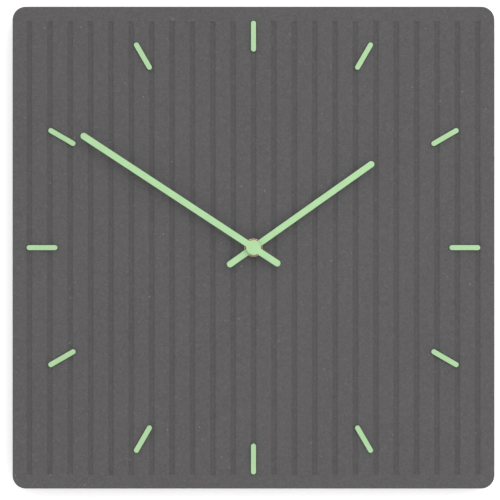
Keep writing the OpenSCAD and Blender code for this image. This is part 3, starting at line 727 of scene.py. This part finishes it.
# The washer: a rounded rim, then a dish that slopes down towards the nut's seat
washer_r = washer_high.x
washer_t = washer_high.z - washer_low.z
RIM_SOFT = 0.15
DISH_START, DISH_END, SEAT_START = 0.35, 1.25, 1.5        # inwards from the rim
DISH_DEPTH = 0.28
washer_profile = soften([
    (BUSH_R + RING_GAP, 0),
    (washer_r - RIM_SOFT, 0),
    (washer_r, RIM_SOFT),
    (washer_r, washer_t - RIM_SOFT),
    (washer_r - 0.2, washer_t),
    (washer_r - DISH_START, washer_t),
    (washer_r - DISH_END, washer_t - DISH_DEPTH),
    (washer_r - SEAT_START, washer_t),
    (BUSH_R + RING_GAP, washer_t),
], [0.05, 0.1, 0.1, 0.1, 0.08, 0.1, 0.2, 0.08, 0.05])
stand_for(make("brass_washer", lathe(washer_profile), shift(z=washer_low.z)), "bush_washer")

NUT_FLATS = 10.0
NUT_CHAMFER = 0.45        # height of the cone that takes the hexagon's corners off
NUT_FACE_R = NUT_FLATS / 2 - 0.1
CHAMFER_STEPS = 5
THREAD_GAP = 0.02         # between the nut and the bush, so that they don't touch
NUT_SINK = 0.3            # of the chamfers at both ends of the nut's bore
nut_h = nut_high.z - nut_low.z
nut_corner = NUT_FLATS / 2 / math.cos(math.radians(30))


def hexagon(limit):
    """A hexagon's radius at a part of a turn, where a circle cuts its corners off."""
    def reach(part):
        off_flat = math.radians((360 * part) % 60 - 30)
        return min(limit, NUT_FLATS / 2 / math.cos(off_flat))
    return reach


flank = []
for step in range(CHAMFER_STEPS + 1):
    part = step / CHAMFER_STEPS
    flank.append((NUT_FACE_R + (nut_corner - NUT_FACE_R) * part, NUT_CHAMFER * part))
nut_profile = [(hexagon(r), z) for r, z in flank] + [(hexagon(r), nut_h - z) for r, z in reversed(flank)]
nut_profile += [
    (BUSH_R + NUT_SINK, nut_h),
    (BUSH_R + THREAD_GAP, nut_h - NUT_SINK),
    (BUSH_R + THREAD_GAP, NUT_SINK),
    (BUSH_R + NUT_SINK, 0),
]
stand_for(make("hex_nut", lathe(nut_profile, 120), shift(z=nut_low.z)), "bush_nut", angle=25)


def thread(outer, low, high, pitch, depth):
    """Profile of a helical thread that fades at both ends."""
    def reach_at(z):
        fade = min(1.0, (z - low) / pitch, (high - z) / pitch)
        return lambda part: outer - depth * fade * (1 - abs(2 * ((z / pitch - part) % 1.0) - 1))
    count = round((high - low) / pitch * 8)
    return [(reach_at(z), z) for z in (low + (high - low) * k / count for k in range(count + 1))]


THREAD_PITCH, THREAD_DEPTH = 0.75, 0.3
FLANGE_R, FLANGE_T, FLANGE_SOFT = 5.2, 0.8, 0.12
bush_l = bush_high.z - bush_low.z
bush_profile = [
    (BORE_R, 0),
    (FLANGE_R - FLANGE_SOFT, 0),
    (FLANGE_R, FLANGE_SOFT),
    (FLANGE_R, FLANGE_T - FLANGE_SOFT),
    (FLANGE_R - FLANGE_SOFT, FLANGE_T),
]
bush_profile += thread(BUSH_R, FLANGE_T, bush_l, THREAD_PITCH, THREAD_DEPTH) + [(BORE_R, bush_l)]
stand_for(make("threaded_tube", lathe(bush_profile, 72), shift(z=bush_low.z)), "threaded_bush")

CUSHION_SOFT = 0.2
cushion = ring_profile(BUSH_R + RING_GAP, cushion_high.x, 0, cushion_high.z - cushion_low.z, CUSHION_SOFT)
stand_for(make("rubber_cushion", lathe(cushion), shift(z=cushion_low.z)), "cushion_washer")

# --------------------------------------------------------------- hanging parts

SINK_R, SHANK_R = 3.2, 1.5       # of the plate's countersunk holes
SINK_LAND = 0.02
plate_outline = rectangle_outline(PLATE_W, PLATE_H, PLATE_CORNER)
plate = make("hanger_plate", loft(rounded(plate_outline, 0, PLATE_T, 0.25, 0.1, 3)), shift(y=PLATE_Y))
entry_y = ENTRY_Y - PLATE_Y
keyhole_slot = pill_outline(2 * SLOT_R, entry_y - SLOT_R, entry_y + SLOT_L + SLOT_R)
entry_cut = loft(cutter(circle_outline(ENTRY_R, 64), PLATE_T + BEYOND, 0, HOLE_SHOULDER))
boolean(plate, join((entry_cut, shift(y=entry_y))))
boolean(plate, loft(cutter(keyhole_slot, PLATE_T + BEYOND, 0, HOLE_SHOULDER)))
sink, shank = circle_outline(SINK_R, 48)(0), circle_outline(SHANK_R, 48)(0)
sink_levels = [(sink, -BEYOND), (sink, SINK_LAND), (shank, PLATE_T - SINK_LAND), (shank, PLATE_T + BEYOND)]
boolean(plate, join(*[(loft(sink_levels), shift(y=side * SCREW_Y)) for side in (-1, 1)]))
stand_for(plate, "keyhole_plate")


def wood_screw(head_r, shank_r, head_h, length):
    """A countersunk screw, head down at z = 0, with a thread and a point."""
    core_r = shank_r - 0.35
    profile = [(0, 0), (head_r - 0.15, 0), (head_r, 0.12), (shank_r, head_h)]
    z, pitch = head_h + 1.0, 1.1
    while z < length - 2.0:
        profile += [(core_r, z), (shank_r, z + pitch * 0.4), (core_r, z + pitch * 0.8)]
        z += pitch
    profile += [(shank_r - 0.4, length - 1.8), (0, length)]
    return lathe(profile, 48, closed=False)


SCREW_HEAD_R, SCREW_SHANK_R, SCREW_L = 3.1, 1.4, 11.0
CROSS_W, CROSS_SPAN, CROSS_DEPTH, CROSS_TAPER = 0.75, 3.4, 1.0, 0.18
CROSS_TURN = 20           # of the two screws' recesses, one each way
screws = make("hanger_screws", join(*[
    (wood_screw(SCREW_HEAD_R, SCREW_SHANK_R, PLATE_T, SCREW_L), shift(y=side * SCREW_Y)) for side in (-1, 1)
]), shift(y=PLATE_Y))
cross = cross_outline(CROSS_W, CROSS_SPAN)
cross_levels = [(cross(0), -BEYOND), (cross(0), 0.1), (cross(CROSS_TAPER), CROSS_DEPTH)]
boolean(screws, join(*[
    (loft(cross_levels), shift(y=side * SCREW_Y) @ turned(CROSS_TURN * side)) for side in (-1, 1)
]))
stand_for(screws, "keyhole_screws")

# The wall bumpers: low domes, widest at the panel
for corner in range(1, 5):
    low, high = dial_extent(f"wall_bumper_{corner}")
    r, h = (high.x - low.x) / 2, high.z - low.z
    dome = [(0, 0), (r * 0.6, 0.05), (r - 0.9, 0.25), (r - 0.25, 0.9), (r, h - 0.3), (r - 0.1, h), (0, h)]
    bumper = lathe(soften(dome, [0, 0.6, 0.5, 0.5, 0.15, 0.05, 0], closed=False), 64, closed=False)
    bumper_at = shift((low.x + high.x) / 2, (low.y + high.y) / 2, low.z)
    stand_for(make(f"bumper_{corner}", bumper, bumper_at), f"wall_bumper_{corner}")

# ------------------------------------------------------- knob and battery

GRIPS = 24
GRIP_STEPS = 8
GRIP_DEPTH = 0.28
DISH_PART = 0.62          # of the knob's radius that is dished
KNOB_DISH = 0.35
knob_low, knob_high = dial_extent("setting_knob")
knob_r, knob_h = (knob_high.x - knob_low.x) / 2, knob_high.z - knob_low.z
grip = grip_outline(knob_r, GRIPS, GRIP_DEPTH, GRIP_STEPS)
dish = circle_outline(knob_r * DISH_PART, GRIPS * GRIP_STEPS)
knob_levels = [(dish(0), KNOB_DISH), (dish(-0.25), 0.0)] + rounded(grip, 0, knob_h, 0.2, 0.15, 3)[1:]
knob_at = shift((knob_high.x + knob_low.x) / 2, (knob_high.y + knob_low.y) / 2, knob_low.z)
stand_for(make("knob", loft(knob_levels), knob_at), "setting_knob")


def direction(degrees):
    return Vector((math.cos(math.radians(degrees)), math.sin(math.radians(degrees))))


def arrow(r, start, end, w, thick, steps=14):
    """A curved arrow, flat, from one angle to another, with its head at the end."""
    neck = end - math.copysign(ARROW_HEAD, end - start)
    bends = [start + (neck - start) * i / steps for i in range(steps + 1)]
    outer = [direction(a) * (r + w / 2) for a in bends]
    inner = [direction(a) * (r - w / 2) for a in reversed(bends)]
    barbs = [direction(neck) * (r + side * w * ARROW_BARB) for side in (1, -1)]
    outline = outer + [barbs[0], direction(end) * r, barbs[1]] + inner
    return prism([tuple(p) for p in outline], 0, thick)


# A raised ring round the knob's well and two arrows for the way it turns
RIM_R, RIM_W, RIM_H, RIM_ROOT = 5.9, 0.7, 0.22, 0.05
ARROW_R, ARROW_W = 8.3, 0.5
ARROW_HEAD = 9            # degrees that an arrow's head takes
ARROW_BARB = 1.3          # how far its barbs stand out, in widths of the arrow
cover_back = dial_extent("movement_back_cover")[0].z
rim = join(
    (lathe(ring_profile(RIM_R, RIM_R + RIM_W, -RIM_H, RIM_ROOT, 0.08)), shift()),
    (arrow(ARROW_R, 35, 75, ARROW_W, RIM_H + RIM_ROOT), shift(z=-RIM_H)),
    (arrow(ARROW_R, 145, 105, ARROW_W, RIM_H + RIM_ROOT), shift(z=-RIM_H)),
)
surround = make("knob_surround", rim, shift(knob_at.translation.x, knob_at.translation.y, cover_back))
smooth(surround)
surround.data.materials.append(FINISH["cover_plastic"])
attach(surround, BODY_OF["movement_back_cover"])

can_low, can_high = dial_extent("battery_can")
sleeve_low, sleeve_high = dial_extent("battery_sleeve")
terminal_low, terminal_high = dial_extent("battery_terminal")
cell_y, cell_z = (can_low.y + can_high.y) / 2, (can_low.z + can_high.z) / 2


def across(x):
    """The frame of a piece turned about the battery's axis, which runs to the left from x."""
    return shift(x, cell_y, cell_z) @ Matrix.Rotation(math.radians(-90), 4, "Y")


def round_size(low, high):
    """Radius and length of a piece that lies along x."""
    return (high.y - low.y) / 2, high.x - low.x


can_r, can_l = round_size(can_low, can_high)
button_r, button_h = round_size(terminal_low, terminal_high)
can_profile = soften([
    (0, 0.15),                        # the flat end with its raised rim
    (can_r - 1.2, 0.15),
    (can_r - 0.9, 0),
    (can_r, 0),
    (can_r, can_l - 1.4),             # the bead under the sleeve's end
    (can_r - 0.35, can_l - 1.1),
    (can_r - 0.3, can_l - 0.5),
    (can_r - 0.9, can_l - 0.1),       # the shoulder round the button
    (button_r + 0.4, can_l),
    (0, can_l),
], [0, 0.1, 0.1, 0.4, 0.2, 0.2, 0.2, 0.2, 0.1, 0], closed=False)
stand_for(make("cell_can", lathe(can_profile, closed=False), across(can_high.x)), "battery_can")

sleeve_r, sleeve_l = round_size(sleeve_low, sleeve_high)
film = lathe(ring_profile(can_r, sleeve_r, -sleeve_l / 2, sleeve_l / 2, 0.06))
stand_for(make("cell_sleeve", film, across((sleeve_low.x + sleeve_high.x) / 2)), "battery_sleeve")

button_profile = soften([(0, 0), (button_r, 0), (button_r - 0.1, button_h), (0, button_h)],
                        [0, 0, 0.35, 0], closed=False)
button = lathe(button_profile, 64, closed=False)
stand_for(make("cell_terminal", button, across(terminal_high.x)), "battery_terminal")

# ------------------------------------------------------------------ inside

# The resin drop over the clock's chip, a part of a ball
DOME_STEPS = 12
drop_low, drop_high = dial_extent("clock_chip")
drop_r, drop_h = (drop_high.y - drop_low.y) / 2, drop_high.z - drop_low.z
ball_r = (drop_r ** 2 + drop_h ** 2) / (2 * drop_h)
drop_profile = [(0, 0), (drop_r, 0)]
for step in range(1, DOME_STEPS):
    lean = math.asin(drop_r / ball_r) * (1 - step / DOME_STEPS)
    drop_profile.append((ball_r * math.sin(lean), ball_r * math.cos(lean) - ball_r + drop_h))
drop = lathe(drop_profile + [(0, drop_h)], 64, closed=False)
drop_at = shift(drop_high.x - drop_r, (drop_high.y + drop_low.y) / 2, drop_low.z)
stand_for(make("resin_drop", drop, drop_at), "clock_chip")

# Moulded nodes keep their CAD shape and get softened edges
MOULD_WELD = 0.000001
MOULD_EDGE = 0.0002
for name in ("movement_case", "movement_back_cover", "train_bridge"):
    obj = nodes[name]
    weld = obj.modifiers.new("weld", "WELD")
    weld.merge_threshold = MOULD_WELD
    edge = obj.modifiers.new("edges", "BEVEL")
    edge.width = MOULD_EDGE
    edge.segments = 2
    edge.limit_method = "ANGLE"
    edge.angle_limit = math.radians(50)
    edge.harden_normals = True

# ----------------------------------------------------- stage, light and camera

wall_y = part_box("wall_bumper_1")[1].y


def plane(name, corners, material):
    mesh = bpy.data.meshes.new(name)
    mesh.from_pydata(corners, [], [(0, 1, 2, 3)])
    obj = bpy.data.objects.new(name, mesh)
    bpy.context.scene.collection.objects.link(obj)
    obj.data.materials.append(material)
    return obj


def show_front_only(tree, shader, output):
    """Lets a stage plane be looked through from behind, so that the clock can be seen from every side."""
    clear = tree.nodes.new("ShaderNodeBsdfTransparent")
    side = tree.nodes.new("ShaderNodeNewGeometry")
    mix = tree.nodes.new("ShaderNodeMixShader")
    tree.links.new(side.outputs["Backfacing"], mix.inputs[0])
    tree.links.new(shader, mix.inputs[1])
    tree.links.new(clear.outputs[0], mix.inputs[2])
    tree.links.new(mix.outputs[0], output.inputs["Surface"])


def wall_material():
    """A white wall, a little lit of its own accord, as a studio backdrop is."""
    material = bpy.data.materials.new("white_wall")
    material.use_nodes = True
    tree = material.node_tree
    tree.nodes.clear()
    diffuse = tree.nodes.new("ShaderNodeBsdfDiffuse")
    diffuse.inputs["Color"].default_value = (0.95, 0.95, 0.95, 1)
    glow = tree.nodes.new("ShaderNodeEmission")
    glow.inputs["Strength"].default_value = 0.24
    both = tree.nodes.new("ShaderNodeAddShader")
    tree.links.new(diffuse.outputs[0], both.inputs[0])
    tree.links.new(glow.outputs[0], both.inputs[1])
    show_front_only(tree, both.outputs[0], tree.nodes.new("ShaderNodeOutputMaterial"))
    return material


def floor_material():
    """A pale matt floor with faint clouds."""
    f = Finish("pale_floor", Roughness=0.9)
    f.colour(f.ramp(f.noise(0.6, 2), (0.3, 0.70), (0.7, 0.72)))
    show_front_only(f.tree, f.shader.outputs[0], f.output)
    return f.material


# The stage, in metres: the wall is where the bumpers touch it, and only the camera sees it
WALL_HALF = 6.0
FLOOR_HALF = 40.0
FLOOR_Z = -0.85
wall = plane("wall", [(-WALL_HALF, wall_y, FLOOR_Z), (WALL_HALF, wall_y, FLOOR_Z),
                      (WALL_HALF, wall_y, WALL_HALF), (-WALL_HALF, wall_y, WALL_HALF)], wall_material())
for way in ("visible_diffuse", "visible_glossy", "visible_transmission", "visible_shadow"):
    setattr(wall, way, False)
plane("floor", [(-FLOOR_HALF, -FLOOR_HALF, FLOOR_Z), (FLOOR_HALF, -FLOOR_HALF, FLOOR_Z),
                (FLOOR_HALF, FLOOR_HALF, FLOOR_Z), (-FLOOR_HALF, FLOOR_HALF, FLOOR_Z)], floor_material())

# Soft light from all round, brighter from above
LOW_SKY = (0.35, (0.58, 0.58, 0.59, 1))
HIGH_SKY = (0.75, (1.0, 1.0, 1.0, 1))
SKY_STRENGTH = 1.13
world = bpy.data.worlds.new("studio")
bpy.context.scene.world = world
world.use_nodes = True
tree = world.node_tree
tree.nodes.clear()
coords = tree.nodes.new("ShaderNodeTexCoord")
split = tree.nodes.new("ShaderNodeSeparateXYZ")
ramp = tree.nodes.new("ShaderNodeValToRGB")
background = tree.nodes.new("ShaderNodeBackground")
output = tree.nodes.new("ShaderNodeOutputWorld")
span = tree.nodes.new("ShaderNodeMapRange")
span.inputs["From Min"].default_value = -1.0
tree.links.new(coords.outputs["Generated"], split.inputs[0])
tree.links.new(split.outputs["Z"], span.inputs["Value"])
tree.links.new(span.outputs["Result"], ramp.inputs["Fac"])
for element, (position, colour) in zip(ramp.color_ramp.elements, (LOW_SKY, HIGH_SKY)):
    element.position = position
    element.color = colour
tree.links.new(ramp.outputs["Color"], background.inputs["Color"])
background.inputs["Strength"].default_value = SKY_STRENGTH
tree.links.new(background.outputs[0], output.inputs["Surface"])


def softbox(name, place, target, size, power):
    data = bpy.data.lights.new(name, "AREA")
    data.shape = "RECTANGLE"
    data.size, data.size_y = size
    data.energy = power
    obj = bpy.data.objects.new(name, data)
    bpy.context.scene.collection.objects.link(obj)
    obj.location = place
    obj.rotation_mode = "QUATERNION"
    obj.rotation_quaternion = (Vector(target) - Vector(place)).to_track_quat("-Z", "Y")


clock_middle = (0, 0, HANDS_AXIS.z)
softbox("front_softbox", place=(0.5, -1.5, 0.22), target=clock_middle, size=(1.3, 1.3), power=8.5)
softbox("rear_softbox", place=(-0.8, 1.9, 0.9), target=clock_middle, size=(1.4, 1.4), power=12)

# The camera looks straight along the hands' axis; a small shift puts the clock where the photo has it
LENS = 135.0
SENSOR = 36.0
VIEW_W = 0.36305                     # what the picture is wide at the front of the dial, in metres
FRAME_SHIFT = (-0.00694, -0.0047)    # parts of the picture's width
camera_data = bpy.data.cameras.new("camera")
camera_data.lens = LENS
camera_data.sensor_width = SENSOR
camera_data.shift_x, camera_data.shift_y = FRAME_SHIFT
camera = bpy.data.objects.new("camera", camera_data)
bpy.context.scene.collection.objects.link(camera)
camera.location = (0, -PANEL_T * MM - VIEW_W * LENS / SENSOR, HANDS_AXIS.z)
camera.rotation_euler = (math.radians(90), 0, 0)
bpy.context.scene.camera = camera
bpy.context.scene.view_settings.view_transform = "Standard"
